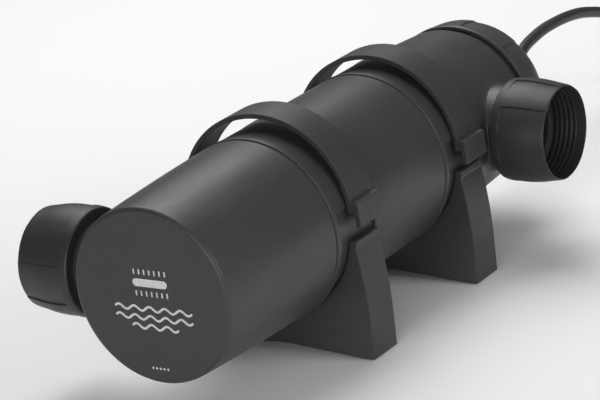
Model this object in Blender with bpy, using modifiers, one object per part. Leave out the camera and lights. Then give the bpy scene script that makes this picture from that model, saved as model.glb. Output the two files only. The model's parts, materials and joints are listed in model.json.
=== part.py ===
"""UV clarifier: a tubular lamp housing in two cradle feet, with two union nuts, a lamp head and its cord.

All sizes below are in millimetres and are turned into metres by put(). They are measured from the
housing's own centreline: x to the outlet side, y from the flat end towards the lamp head, z up.
"""

import math

import bmesh
import bpy
from mathutils import Matrix, Vector

MM = 0.001

# ---- driving dimensions --------------------------------------------------------------------
AXIS_HEIGHT = 69.0  # centreline above the floor
LENGTH = 355.0  # y of the end of the gland nut
FLAT_Y = -1.3  # the flat end
MID_X = -1.2  # middle of the two nuts
MID_Y = (LENGTH + FLAT_Y) / 2

R_FACE = 45.0  # housing at the flat end
R_RIM = 48.3  # at the end of the first, slightly swelling stretch
SWELL = 0.45  # how far that stretch bows outward at its middle
R_WAIST = 48.4  # at the end of the second
R_TAIL = 45.5  # at the rear shoulder
R_NECK = 48.0  # the two necks under the straps
R_SEAT = 46.3  # the recess in each neck that the foot holds
SEAT_TOP = 14.0  # degrees above the ports at which the recess ends
R_BORE = 43.7  # chamber
LIP_Y = (90.4, 199.5)  # where each neck's raised lip starts
NECK_LONG = 33.0  # lip's edge to the end of the neck
SHOULDER_Y = 293.4  # rear end of the housing's skin
THREAD_END_Y = 314.0
R_THREAD_ROOT, R_THREAD_CREST = 41.1, 42.0
R_MOUTH = 38.6  # rear opening of the housing

PORT_Y = {"inlet": 31.9, "outlet": 267.5}
PORT_SIDE = {"inlet": -1, "outlet": 1}
R_BOSS, BOSS_FILLET, BOSS_END = 23.5, 2.2, 50.8
FILLET_GROWS = 1.1  # the fillet is wider by this share on the side of the flat end
R_SPIGOT, SPIGOT_END, R_PORT_BORE = 21.6, 61.5, 17.0
NUT_START = {"inlet": 54.4, "outlet": 52.0}
GROOVE = (3.6, 5.2)  # snap ring groove in the spigot, from the nut's start
R_GROOVE = 20.2

GRIPS, GRIP_DEEP = 8, 0.75
FIRST_GRIP = {"inlet": 31.0, "outlet": 43.4}  # a grip's step, in degrees above the side that faces -y
RING_GRIPS, RING_GRIP_DEEP, RING_FIRST = 10, 0.8, 84.5

HOLD_Y = (103.4, 211.0)  # near face of each foot
HOLD_WIDE = 22.4
FOOT_HALF = 53.6
PAD_WIDE, ARCH_HIGH = 7.0, 3.4
SADDLE_GAP = 0.35
STRAP_IN, STRAP_THICK = 48.35, 2.6
STRAP_INSET = 0.4  # the strap is this much narrower than the foot on each side
HINGE_X, HINGE_Z = -52.2, -4.0
R_KNUCKLE, R_PIN, R_PIN_HOLE = 3.4, 1.6, 1.85
KNUCKLE_WIDE = 8.6
LATCHED_BACK = {"front": 7.0, "rear": 5.0}  # degrees that each strap stands open at rest

R_SLEEVE, SLEEVE_WALL = 17.5, 1.6
SLEEVE_Y = (140.0, 296.0)
LAMP_TIP_Y, LAMP_BASE_Y, LAMP_BASE_END = 158.0, 297.6, 312.0
R_LAMP_TUBE, LAMP_TUBE_X = 6.0, 7.2

CORD_R = 3.4
BOOT_LONG = 24.0
COIL_AT = (92.0, 492.0)
COIL_RADII = (34.5, 41.5, 48.5)
COIL_TOP_GAP = 2.1  # the tie passes under the coil
COIL_HIGH = 27.8
FLOOR = -AXIS_HEIGHT
CORD_ROUTE = [
    (0.0, LENGTH + 0.4, 0.0),
    (0.0, 362.0, 0.0),
    (-1.5, 370.5, 0.7),
    (-4.0, 380.0, 2.3),
    (-6.4, 389.0, 3.8),
    (-8.2, 398.5, 5.1),
    (-9.3, 409.0, 6.0),
    (-10.2, 422.0, 6.8),
    (-10.8, 436.5, 6.6),
    (-11.2, 450.0, 5.8),
    (-11.4, 464.0, 4.3),
    (-11.5, 477.5, 2.0),
    (-11.5, 490.0, -1.2),
    (-11.5, 503.4, -5.2),
    (-11.0, 516.5, -10.6),
    (-9.0, 530.0, -18.2),
    (-5.0, 543.0, -27.4),
    (1.0, 554.5, -37.6),
    (9.5, 564.0, -47.8),
    (21.0, 570.0, -56.8),
    (35.0, 571.2, -62.6),
    (49.5, 567.8, -65.0),
    (63.5, 561.8, FLOOR + CORD_R + 0.3),
    (77.5, 554.8, FLOOR + CORD_R + 0.3),
    (92.0, 549.8, FLOOR + CORD_R + 0.3),
]
PLUG_TURN = math.radians(-20.0)  # where on the coil the plug's lead leaves
PLUG_HIGH = FLOOR + 17.8
LEAD_LONG = 21.0

# ---- scene and small helpers ---------------------------------------------------------------
for old in list(bpy.data.objects):
    bpy.data.objects.remove(old, do_unlink=True)

parts = bpy.data.collections.new("uv_clarifier")
cutters = bpy.data.collections.new("cutters")
bpy.context.scene.collection.children.link(parts)
bpy.context.scene.collection.children.link(cutters)


def put(x, y, z):
    """A place measured from the housing's centreline, in the object's own frame."""
    return Vector(((x - MID_X) * MM, (y - MID_Y) * MM, (z + AXIS_HEIGHT) * MM))


def material(name, colour, rough, metal=0.0, clear=0.0):
    m = bpy.data.materials.new(name)
    m.use_nodes = True
    shader = m.node_tree.nodes["Principled BSDF"]
    shader.inputs["Base Color"].default_value = (*colour, 1.0)
    shader.inputs["Roughness"].default_value = rough
    shader.inputs["Metallic"].default_value = metal
    shader.inputs["Transmission Weight"].default_value = clear
    m.diffuse_color = (*colour, 1.0)
    return m


HOUSING = material("housing_plastic", (0.030, 0.030, 0.029), 0.42)
BRACKET = material("bracket_plastic", (0.040, 0.042, 0.043), 0.50)
NUT = material("nut_plastic", (0.030, 0.030, 0.032), 0.36)
RUBBER = material("black_rubber", (0.012, 0.012, 0.012), 0.65)
INNER = material("white_plastic", (0.72, 0.72, 0.69), 0.45)
QUARTZ = material("quartz_glass", (0.90, 0.95, 1.0), 0.03, clear=0.95)
BOARD = material("circuit_board", (0.03, 0.16, 0.07), 0.45)
CORE = material("choke_core", (0.05, 0.05, 0.055), 0.55)
STEEL = material("steel", (0.62, 0.62, 0.60), 0.28, metal=1.0)
BRASS = material("plated_brass", (0.72, 0.66, 0.48), 0.25, metal=1.0)


def shown(name, mesh, mat, where=parts):
    o = bpy.data.objects.new(name, mesh)
    where.objects.link(o)
    if mat:
        mesh.materials.append(mat)
    if where is cutters:
        o.hide_render = True
        o.display_type = "WIRE"
    return o


def loft(name, rows, mat, ring=False, where=parts):
    """Skin rows of points, each a closed loop of the same count. ring joins the last row to the first."""
    bm = bmesh.new()
    loops = [[bm.verts.new(p) for p in row] for row in rows]
    count = len(loops[0])
    pairs = list(zip(loops, loops[1:])) + ([(loops[-1], loops[0])] if ring else [])
    for a, b in pairs:
        for i in range(count):
            j = (i + 1) % count
            bm.faces.new((a[i], a[j], b[j], b[i]))
    if not ring:
        bm.faces.new(loops[0][::-1])
        bm.faces.new(loops[-1])
    bmesh.ops.recalc_face_normals(bm, faces=bm.faces)
    mesh = bpy.data.meshes.new(name)
    bm.to_mesh(mesh)
    bm.free()
    return shown(name, mesh, mat, where)


def prism(name, outline, y0, y1, mat, bevel=0.0, where=parts):
    """An outline in x and z, carried from y0 to y1."""
    bm = bmesh.new()
    near = [bm.verts.new(put(x, y0, z)) for x, z in outline]
    face = bm.faces.new(near)
    far = bmesh.ops.extrude_face_region(bm, geom=[face])["geom"]
    shift = Vector((0, (y1 - y0) * MM, 0))
    bmesh.ops.translate(bm, vec=shift, verts=[v for v in far if isinstance(v, bmesh.types.BMVert)])
    bmesh.ops.recalc_face_normals(bm, faces=bm.faces)
    mesh = bpy.data.meshes.new(name)
    bm.to_mesh(mesh)
    bm.free()
    o = shown(name, mesh, mat, where)
    if bevel:
        m = o.modifiers.new("edges", "BEVEL")
        m.width = bevel * MM
        m.segments = 1
        m.limit_method = "ANGLE"
        m.angle_limit = math.radians(38)
    return o


def turned(name, profile, axis, centre, steps, mat, solid=False, where=parts):
    """Revolve (radius, along) points about an axis through centre with the Screw modifier.

    solid: the profile starts and ends on the axis. Otherwise it closes on itself.
    """
    spot = {"X": lambda r, a: (a * MM, 0, r * MM), "Y": lambda r, a: (r * MM, a * MM, 0)}
    spot["Z"] = lambda r, a: (r * MM, 0, a * MM)
    mesh = bpy.data.meshes.new(name)
    count = len(profile)
    edges = [(i, i + 1) for i in range(count - 1)] + ([] if solid else [(count - 1, 0)])
    mesh.from_pydata([spot[axis](r, a) for r, a in profile], edges, [])
    o = shown(name, mesh, mat, where)
    o.location = centre
    m = o.modifiers.new("turn", "SCREW")
    m.axis = axis
    m.steps = m.render_steps = steps
    m.use_merge_vertices = True
    m.merge_threshold = 0.00001
    m.use_normal_calculate = True
    if volume(o) < 0:
        m.use_normal_flip = True
    return o


def volume(o):
    """Signed volume of the object as its modifiers show it."""
    bpy.context.view_layer.update()
    graph = bpy.context.evaluated_depsgraph_get()
    mesh = o.evaluated_get(graph).to_mesh()
    bm = bmesh.new()
    bm.from_mesh(mesh)
    size = bm.calc_volume(signed=True)
    bm.free()
    o.evaluated_get(graph).to_mesh_clear()
    return size


def pivot(o, place):
    """Move the object's origin to place, on the axis that the piece turns about. The shape stays put."""
    o.data.transform(Matrix.Translation(-place))
    o.location = place
    return o


def combine(o, tool, how):
    m = o.modifiers.new(tool.name, "BOOLEAN")
    m.operation = how
    m.solver = "EXACT"
    m.object = tool


def arc(radius, start, stop, count, cx=0.0, cz=0.0):
    """Points on a circle in x and z, angles in degrees."""
    turn = [math.radians(start + (stop - start) * i / (count - 1)) for i in range(count)]
    return [(cx + radius * math.cos(t), cz + radius * math.sin(t)) for t in turn]


def block(name, low, high, mat, bevel=0.0, where=parts):
    x0, y0, z0 = low
    x1, y1, z1 = high
    return prism(name, [(x0, z0), (x1, z0), (x1, z1), (x0, z1)], y0, y1, mat, bevel, where)


def smooth(points, spacing):
    """Even points on a Catmull-Rom curve through the given ones."""
    ps = [Vector(p) for p in points]
    ps = [2 * ps[0] - ps[1]] + ps + [2 * ps[-1] - ps[-2]]
    fine = []
    for a, b, c, d in zip(ps, ps[1:], ps[2:], ps[3:]):
        for i in range(24):
            t = i / 24
            fine.append(
                0.5
                * (2 * b + (c - a) * t + (2 * a - 5 * b + 4 * c - d) * t**2 + (3 * b - a - 3 * c + d) * t**3)
            )
    fine.append(ps[-2])
    out, run = [fine[0]], 0.0
    for p, q in zip(fine, fine[1:]):
        run += (q - p).length
        if run >= spacing:
            out.append(q)
            run = 0.0
    if (out[-1] - fine[-1]).length < spacing / 2:
        out.pop()
    return out + [fine[-1]]


def tube(name, points, radius, mat, taper=None):
    """A round bar along points, as a curve with a bevel. taper gives each point its own radius."""
    curve = bpy.data.curves.new(name, "CURVE")
    curve.dimensions = "3D"
    curve.bevel_depth = radius * MM
    curve.bevel_resolution = 2
    curve.use_fill_caps = True
    line = curve.splines.new("POLY")
    line.points.add(len(points) - 1)
    for i, p in enumerate(points):
        line.points[i].co = (*put(*p), 1.0)
        line.points[i].radius = taper[i] / radius if taper else 1.0
    curve.materials.append(mat)
    o = bpy.data.objects.new(name, curve)
    parts.objects.link(o)
    return o


# ---- housing -------------------------------------------------------------------------------
def skin_radius(y):
    """Outer radius of the plain housing at y."""
    if y < LIP_Y[0]:
        t = (y - FLAT_Y - 2.4) / (LIP_Y[0] - FLAT_Y - 3.6)
        return R_FACE + (R_RIM - R_FACE) * t + SWELL * 4 * t * (1 - t)
    if y < LIP_Y[1]:
        return R_RIM
    start = LIP_Y[1] + 3.5 + NECK_LONG + 1.0
    return R_RIM + (R_TAIL - R_RIM) * (y - start) / (SHOULDER_Y - 0.8 - start)


def housing_outline():
    line = [(0, FLAT_Y), (42.8, FLAT_Y), (44.4, FLAT_Y + 0.8), (R_FACE, FLAT_Y + 2.4)]
    line += [(skin_radius(y), y) for y in (22.0, 44.0, 66.0)]
    for lip, before in ((LIP_Y[0], R_RIM), (LIP_Y[1], R_WAIST)):
        line += [(before, lip - 1.2), (before - 0.8, lip - 1.1), (before - 0.8, lip - 0.2)]
        line += [(before + 0.3, lip + 0.4), (before + 0.3, lip + 2.6), (R_NECK, lip + 3.5)]
        line += [(R_NECK, lip + 3.5 + NECK_LONG), (R_RIM, lip + 3.5 + NECK_LONG + 1.0)]
    line += [(R_TAIL, SHOULDER_Y - 0.8), (R_TAIL - 0.8, SHOULDER_Y), (R_THREAD_ROOT, SHOULDER_Y)]
    for y in (303.2, 309.2):
        line += [(R_THREAD_ROOT, y - 1.4), (R_THREAD_CREST, y), (R_THREAD_ROOT, y + 1.4)]
    return line + [(R_THREAD_ROOT, THREAD_END_Y), (0, THREAD_END_Y)]


def port_solid(side_name):
    """Filleted boss and spigot, as one solid that starts inside the housing's wall."""
    side, y0, count = PORT_SIDE[side_name], PORT_Y[side_name], 32
    turns = [2 * math.pi * i / count for i in range(count)]

    def circle(r, x):
        return [put(side * x, y0 + r * math.cos(t), r * math.sin(t)) for t in turns]

    def fillet(bend, sunk=0.0, x=None):
        """A row on the fillet: bend 0 is its foot on the skin, a right angle its top on the boss."""
        row = []
        for t in turns:
            wide = BOSS_FILLET * (1 + FILLET_GROWS * (1 - math.cos(t)) / 2)
            r = R_BOSS + wide * (1 - math.sin(bend))
            y, z = y0 + r * math.cos(t), r * math.sin(t)
            on_skin = math.sqrt(skin_radius(y) ** 2 - z**2) + BOSS_FILLET * (1 - math.cos(bend)) - sunk
            row.append(put(side * (x or on_skin), y, z))
        return row

    rows = [fillet(0, x=30.0), fillet(0, sunk=0.4), fillet(0.2 * math.pi), fillet(0.5 * math.pi)]
    rows += [circle(R_BOSS, BOSS_END - 0.5), circle(R_BOSS - 0.5, BOSS_END), circle(R_SPIGOT, BOSS_END)]
    near, far = (NUT_START[side_name] + g for g in GROOVE)
    rows += [circle(R_SPIGOT, near), circle(R_GROOVE, near), circle(R_GROOVE, far), circle(R_SPIGOT, far)]
    rows += [circle(R_SPIGOT, SPIGOT_END - 0.6), circle(R_SPIGOT - 0.6, SPIGOT_END)]
    return loft(side_name + "_port_solid", rows, None, where=cutters)


def make_housing():
    centre = put(0, 0, 0)
    body = turned("housing", housing_outline(), "Y", centre, 48, HOUSING, solid=True)
    chamber = [(0, 1.7), (41.6, 1.7), (R_BORE, 88.0), (R_BORE, 240.0), (41.6, 288.0)]
    chamber += [(R_MOUTH, 292.0), (R_MOUTH, THREAD_END_Y + 4), (0, THREAD_END_Y + 4)]
    inside = turned("chamber", chamber, "Y", centre, 36, None, solid=True, where=cutters)
    for number, lip in enumerate(LIP_Y):
        seat = arc(60.0, SEAT_TOP, -180 - SEAT_TOP, 29) + arc(R_SEAT, -180 - SEAT_TOP, SEAT_TOP, 29)
        start = lip + 3.6
        cut = prism("seat_%d" % number, seat, start, start + NECK_LONG - 0.2, None, where=cutters)
        combine(body, cut, "DIFFERENCE")
    for name in PORT_Y:
        combine(body, port_solid(name), "UNION")
    combine(body, inside, "DIFFERENCE")
    for name, side in PORT_SIDE.items():
        bore = [(0, side * 34.0), (R_PORT_BORE, side * 34.0), (R_PORT_BORE, side * 66.0), (0, side * 66.0)]
        place = put(0, PORT_Y[name], 0)
        combine(body, turned(name + "_bore", bore, "X", place, 28, None, True, cutters), "DIFFERENCE")
    return body


# ---- union nuts and their seals ------------------------------------------------------------
def grip_turns(grips, sense):
    """Angles round a gripped ring, with how deep the saw-tooth recess is at each, from 0 to 1."""
    places = ((0.0, 1.0), (0.25, 0.55), (0.5, 0.1), (0.74, 0.0), (0.982, 0.0))
    return [
        (sense * 2 * math.pi * (g + share) / grips, deep) for g in range(grips) for share, deep in places
    ]


def union_nut(name):
    """Barrel-shaped nut. Rows are (distance from the wide end, radius, share of the grip's depth)."""
    side, y0 = PORT_SIDE[name], PORT_Y[name]
    rows = [(0, 26.9, 0), (0.6, 27.5, 0), (4.8, 28.1, 0), (5.3, 28.1, 1), (12, 28.3, 1), (19, 27.8, 1)]
    rows += [(25, 26.8, 1), (31.1, 25.75, 0.5), (31.5, 25.45, 0.4), (31.5, 24.9, 0)]
    thread = [(30.8 - 1.5 * i, 24.25 if i % 2 else 24.95, 0) for i in range(1, 8)]
    rows += thread + [(3.4, 25.0, 0), (3.4, 22.1, 0), (0, 22.1, 0)]
    first = math.radians(FIRST_GRIP[name])

    def row(along, r, share):
        out = []
        for turn, deep in grip_turns(GRIPS, 1):
            a = turn - first
            radius = r - GRIP_DEEP * deep * share
            y, z = -side * radius * math.cos(a), -radius * math.sin(a)
            out.append(put(side * (NUT_START[name] + along), y0 + y, z))
        return out

    nut = loft(name + "_union_nut", [row(*r) for r in rows], NUT, ring=True)
    return pivot(nut, put(side * (NUT_START[name] + 16), y0, 0))


def port_fittings(name):
    side = PORT_SIDE[name]
    place = put(0, PORT_Y[name], 0)
    union_nut(name)
    # Split snap ring that keeps the nut on the spigot.
    count, gap = 30, math.radians(14)
    rows = []
    for i in range(count + 1):
        t = math.pi / 2 + gap / 2 + (2 * math.pi - gap) * i / count
        near = NUT_START[name] + GROOVE[0] + 0.3
        corners = [(20.5, near), (24.2, near), (24.2, near + 1.0), (20.5, near + 1.0)]
        rows.append(
            [
                put(side * x, PORT_Y[name] + r * math.cos(t), r * math.sin(t))
                for r, x in corners
            ]
        )
    loft(name + "_snap_ring", rows, STEEL)
    seal = [(17.4, 61.8), (23.4, 61.8), (23.4, 64.4), (17.4, 64.4)]
    turned(name + "_seal", [(r, side * x) for r, x in seal], "X", place, 28, RUBBER)


# ---- feet and straps -----------------------------------------------------------------------
def make_foot(name, y0):
    saddle = R_SEAT + SADDLE_GAP
    flank = [(49.8, -9.6), (51.6, -20.0), (52.9, -32.0), (FOOT_HALF, -46.0), (FOOT_HALF, FLOOR)]
    flank += [(FOOT_HALF - PAD_WIDE, FLOOR), (3.0, FLOOR + ARCH_HIGH)]
    line = [(-x, z) for x, z in flank[::-1]] + [(-50.4, -8.4)]
    line += arc(R_KNUCKLE, 215, 10, 9, HINGE_X, HINGE_Z)
    line += [(-saddle * math.cos(math.radians(5)), -saddle * math.sin(math.radians(5)) - 1.0)]
    line += arc(saddle, 189, 351, 21)
    line += [(46.3, -5.7), (50.2, -5.6), (50.6, -6.2), (50.6, -8.8)] + flank
    foot = prism(name + "_foot", line, y0, y0 + HOLD_WIDE, BRACKET, bevel=0.6)
    mid = y0 + HOLD_WIDE / 2
    slot = block(
        name + "_slot", (-58, mid - KNUCKLE_WIDE / 2 - 0.4, -8.0), (-40, mid + KNUCKLE_WIDE / 2 + 0.4, 4),
        None, where=cutters,
    )
    combine(foot, slot, "DIFFERENCE")
    drill = [(0, -16), (R_PIN_HOLE, -16), (R_PIN_HOLE, 16), (0, 16)]
    hole = turned(name + "_pin_hole", drill, "Y", put(HINGE_X, mid, HINGE_Z), 16, None, True, cutters)
    combine(foot, hole, "DIFFERENCE")
    half = HOLD_WIDE / 2 + 0.5
    pin = [(0, -half), (R_PIN - 0.3, -half), (R_PIN, -half + 0.3), (R_PIN, half - 0.3)]
    pin += [(R_PIN - 0.3, half), (0, half)]
    turned(name + "_hinge_pin", pin, "Y", put(HINGE_X, mid, HINGE_Z), 16, STEEL, solid=True)
    return foot


def make_strap(name, y0):
    """Half ring with a hinge knuckle at the left and an outward latch at the right.

    It is drawn latched and then turned back about its hinge by LATCHED_BACK.
    """
    near, far = y0 + STRAP_INSET, y0 + HOLD_WIDE - STRAP_INSET
    outer = STRAP_IN + STRAP_THICK
    back = math.radians(LATCHED_BACK[name])

    def turned_back(points):
        out = []
        for x, z in points:
            dx, dz = x - HINGE_X, z - HINGE_Z
            out.append(
                (
                    HINGE_X + dx * math.cos(back) - dz * math.sin(back),
                    HINGE_Z + dx * math.sin(back) + dz * math.cos(back),
                )
            )
        return out

    end = math.degrees(math.asin(1.2 / STRAP_IN))
    band = arc(STRAP_IN, 180 - end, 0, 23) + [(STRAP_IN, -3.4), (51.6, -3.4), (51.6, -9.8)]
    band += [(51.1, -10.2), (51.4, -11.0), (54.5, -10.8), (54.8, 1.2), (54.2, 1.8)]
    band += [(outer, 1.8)] + arc(outer, 2.5, 180 - end, 23)
    strap = prism(name + "_strap", turned_back(band), near, far, BRACKET, bevel=0.45)
    mid = y0 + HOLD_WIDE / 2
    pivot(strap, put(HINGE_X, mid, HINGE_Z))
    tab = arc(R_KNUCKLE, -150, 32, 10, HINGE_X, HINGE_Z)
    tab += [(-48.7, 2.8), (-50.5, 2.8), (-53.2, -0.7), (-55.1, -2.2)]
    knuckle = prism(
        name + "_knuckle", turned_back(tab), mid - KNUCKLE_WIDE / 2, mid + KNUCKLE_WIDE / 2, None,
        where=cutters,
    )
    combine(strap, knuckle, "UNION")
    drill = [(0, -8), (R_PIN_HOLE, -8), (R_PIN_HOLE, 8), (0, 8)]
    hole = turned(name + "_knuckle_hole", drill, "Y", put(HINGE_X, mid, HINGE_Z), 16, None, True, cutters)
    combine(strap, hole, "DIFFERENCE")
    return strap


# ---- lamp head -----------------------------------------------------------------------------
def make_retaining_ring():
    """Screw ring that holds the lamp head. Rows are (radius, y, share of the grip's depth)."""
    rows = [(43.4, 300.0, 0), (45.0, 300.0, 0), (45.5, 300.7, 0), (45.5, 303.4, 0), (45.5, 303.9, 1)]
    rows += [(45.4, 310, 1), (44.7, 315.8, 1), (43.3, 320.4, 0.8), (40.6, 323.6, 0.4)]
    rows += [(37.2, 325.4, 0), (35.2, 325.0, 0), (35.2, 321.5, 0), (41.6, 320.9, 0)]
    rows += [(41.6, 314.6, 0), (43.4, 314.0, 0)]
    rows += [(43.4, 312.2, 0), (42.6, 311.0, 0), (43.4, 309.8, 0)]

    def row(r, y, share):
        out = []
        for turn, deep in grip_turns(RING_GRIPS, -1):
            radius = r - RING_GRIP_DEEP * deep * share
            a = turn + math.radians(RING_FIRST)
            out.append(put(radius * math.cos(a), y, radius * math.sin(a)))
        return out

    ring = loft("retaining_ring", [row(*r) for r in rows], HOUSING, ring=True)
    return pivot(ring, put(0, 312.5, 0))


def o_ring(name, radius, thick, y, steps):
    centre = put(0, 0, 0)
    points = [
        (radius + thick * math.cos(t), y + thick * math.sin(t))
        for t in [2 * math.pi * i / 6 for i in range(6)]
    ]
    return turned(name, points, "Y", centre, steps, RUBBER)


def make_head():
    centre = put(0, 0, 0)
    band = [(41.6, 293.8), (43.0, 293.8), (42.8, 296.7), (43.0, 299.6), (41.6, 299.6)]
    turned("head_gasket", band, "Y", centre, 40, RUBBER)
    make_retaining_ring()

    base = [(18.0, 288.2), (20.6, 288.2), (20.6, 284.0), (24.0, 284.0), (24.0, 292.6), (38.1, 292.6)]
    base += [(38.1, 303.0), (35.6, 303.0), (35.6, 306.4), (38.1, 306.4), (38.1, 314.5), (41.0, 314.5)]
    base += [(41.0, 317.3), (33.2, 317.3), (33.2, 296.8), (18.0, 296.8)]
    turned("lamp_head_base", base, "Y", centre, 32, HOUSING)
    o_ring("head_o_ring", 37.1, 1.15, 304.7, 32)
    o_ring("sleeve_o_ring", 19.25, 1.1, 286.1, 24)
    nut = [(18.0, 280.4), (26.8, 280.4), (27.5, 281.1), (27.5, 291.8), (24.4, 291.8), (24.4, 283.6)]
    turned("sleeve_nut", nut + [(18.0, 283.6)], "Y", centre, 24, HOUSING)

    cover = [(32.2, 317.7), (41.0, 317.7), (41.0, 320.4), (34.5, 320.4), (34.2, 326.4), (32.6, 330.8)]
    cover += [(29.5, 334.2), (24.2, 336.8), (16.6, 338.2), (11.0, 338.6), (5.2, 338.6), (5.2, 336.0)]
    cover += [(15.6, 335.6), (23.2, 334.1), (28.1, 331.6), (30.7, 328.4), (31.7, 324.8)]
    turned("head_cover", cover, "Y", centre, 36, HOUSING)

    inner = R_SLEEVE - SLEEVE_WALL
    near, far = SLEEVE_Y
    glass = [(0, near)]
    for t in (30, 60, 90):
        a = math.radians(t)
        glass.append((R_SLEEVE * math.sin(a), near + R_SLEEVE * (1 - math.cos(a))))
    glass += [(R_SLEEVE, far), (inner, far)]
    for t in (90, 60, 30):
        a = math.radians(t)
        glass.append((inner * math.sin(a), near + SLEEVE_WALL + inner * (1 - math.cos(a))))
    glass.append((0, near + SLEEVE_WALL))
    turned("quartz_sleeve", glass, "Y", centre, 24, QUARTZ, solid=True)
    make_lamp()
    make_electrics()
    make_gland()


def make_lamp():
    """Twin-tube lamp with its bridge, base and two pins."""
    near = LAMP_TIP_Y
    legs = []
    for side, name in ((-1, "lamp_leg_left"), (1, "lamp_leg_right")):
        leg = [(0, near), (4.2, near + 1.0), (R_LAMP_TUBE, near + 4.5), (R_LAMP_TUBE, LAMP_BASE_Y - 0.3)]
        leg.append((0, LAMP_BASE_Y - 0.3))
        legs.append((side, name, leg))
    side, name, leg = legs[0]
    lamp = turned("uv_lamp_tubes", leg, "Y", put(side * LAMP_TUBE_X, 0, 0), 16, QUARTZ, solid=True)
    side, name, leg = legs[1]
    other = turned(name, leg, "Y", put(side * LAMP_TUBE_X, 0, 0), 16, None, True, cutters)
    combine(lamp, other, "UNION")
    bridge = [(0, -LAMP_TUBE_X), (2.2, -LAMP_TUBE_X), (2.2, LAMP_TUBE_X), (0, LAMP_TUBE_X)]
    combine(
        lamp, turned("lamp_bridge", bridge, "X", put(0, near + 9, 0), 10, None, True, cutters), "UNION"
    )
    block("uv_lamp_base", (-15.5, LAMP_BASE_Y, -9), (15.5, LAMP_BASE_END, 9), INNER, bevel=0.8)
    holder = block("lamp_holder", (-14, LAMP_BASE_END + 0.4, -8), (14, 324.6, 8), INNER, bevel=0.6)
    for side, name in ((-1, "left"), (1, "right")):
        place = put(side * 11.5, 0, 0)
        pin = [(0, LAMP_BASE_END + 0.3), (1.1, LAMP_BASE_END + 0.3), (1.1, 319.0), (0, 319.0)]
        turned("lamp_pin_" + name, pin, "Y", place, 12, BRASS, solid=True)
        hole = [(0, LAMP_BASE_END), (1.5, LAMP_BASE_END), (1.5, 319.8), (0, 319.8)]
        combine(holder, turned("pin_hole_" + name, hole, "Y", place, 12, None, True, cutters), "DIFFERENCE")


def make_electrics():
    centre = put(0, 0, 0)
    turned("circuit_board", [(0, 325.6), (28, 325.6), (28, 327.2), (0, 327.2)], "Y", centre, 24, BOARD, True)
    block("choke", (-10, 314.6, 12), (10, 325.3, 26), CORE, bevel=0.8)
    can = [(0, 314.0), (4.6, 314.0), (5.0, 314.6), (5.0, 325.3), (0, 325.3)]
    turned("capacitor", can, "Y", put(0, 0, -18.5), 14, RUBBER, solid=True)


def make_gland():
    centre = put(0, 0, 0)
    lock = [(5.3, 332.0), (8.4, 332.0), (8.4, 335.2), (5.3, 335.2)]
    turned("gland_lock_nut", lock, "Y", centre, 16, BRACKET)
    body = [(3.8, 331.4), (4.9, 331.4), (4.9, 338.9), (8.8, 338.9), (9.2, 339.4), (9.2, 343.4)]
    body += [(8.8, 343.9), (6.6, 343.9), (6.6, 349.2), (3.8, 349.2)]
    turned("gland_body", body, "Y", centre, 20, HOUSING)
    cap = [(6.9, 344.3), (9.0, 344.3), (9.0, 349.6), (8.4, 352.0), (6.9, 354.2), (5.6, LENGTH)]
    cap += [(3.8, LENGTH), (3.8, 349.8), (6.9, 349.6)]
    turned("gland_nut", cap, "Y", centre, 20, HOUSING)


# ---- cord, coil and plug -------------------------------------------------------------------
def make_cord():
    spacing = 6 * CORD_R * 0.8
    path = smooth(CORD_ROUTE, 2.0)
    run, split = 0.0, 0
    while run < BOOT_LONG:
        run += (path[split + 1] - path[split]).length
        split += 1
    boot = path[: split + 1]
    widths = [6.0 - 1.7 * i / (len(boot) - 1) for i in range(len(boot))]
    tube("strain_relief", boot, 6.0, RUBBER, taper=widths)
    rest = path[split:]
    ahead = (rest[1] - rest[0]).normalized()
    rest[0] = rest[0] + ahead * 0.35
    tube("cord", smooth(rest[::6] + [rest[-1]], spacing), CORD_R, RUBBER)


def make_coil():
    """The stored length: ten turns, three beside each other, as one turned ring with a tie round it."""
    low, high = COIL_TOP_GAP, COIL_TOP_GAP + COIL_HIGH
    r0, r1 = COIL_RADII[0] - CORD_R, COIL_RADII[-1] + CORD_R
    ring = [(r0, low + 2), (r0 + 2, low), (r1 - 2, low), (r1, low + 2), (r1, high - 8)]
    ring += [(r1 - 7, high), (r0 + 7, high), (r0, high - 8)]
    place = put(COIL_AT[0], COIL_AT[1], FLOOR)
    turned("cord_coil", ring, "Z", place, 28, RUBBER)
    gap, thick, wide = 0.7, 1.0, 3.0
    outline = [(r0, low), (r1, low), (r1, high - 8), (r1 - 7, high), (r0 + 7, high), (r0, high - 8)]
    mid_r, mid_z = (r0 + r1) / 2, (low + high) / 2
    rows = []
    for grow in (gap, gap + thick):
        for y in (-wide, wide):
            row = []
            for r, z in outline:
                dr = grow if r > mid_r else -grow
                dz = grow if z > mid_z else -grow
                row.append(put(COIL_AT[0] - (r + dr), COIL_AT[1] + y, FLOOR + z + dz))
            rows.append(row)
    a, b, c, d = rows
    loft("coil_tie", [a, b, d, c], RUBBER, ring=True)


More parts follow.
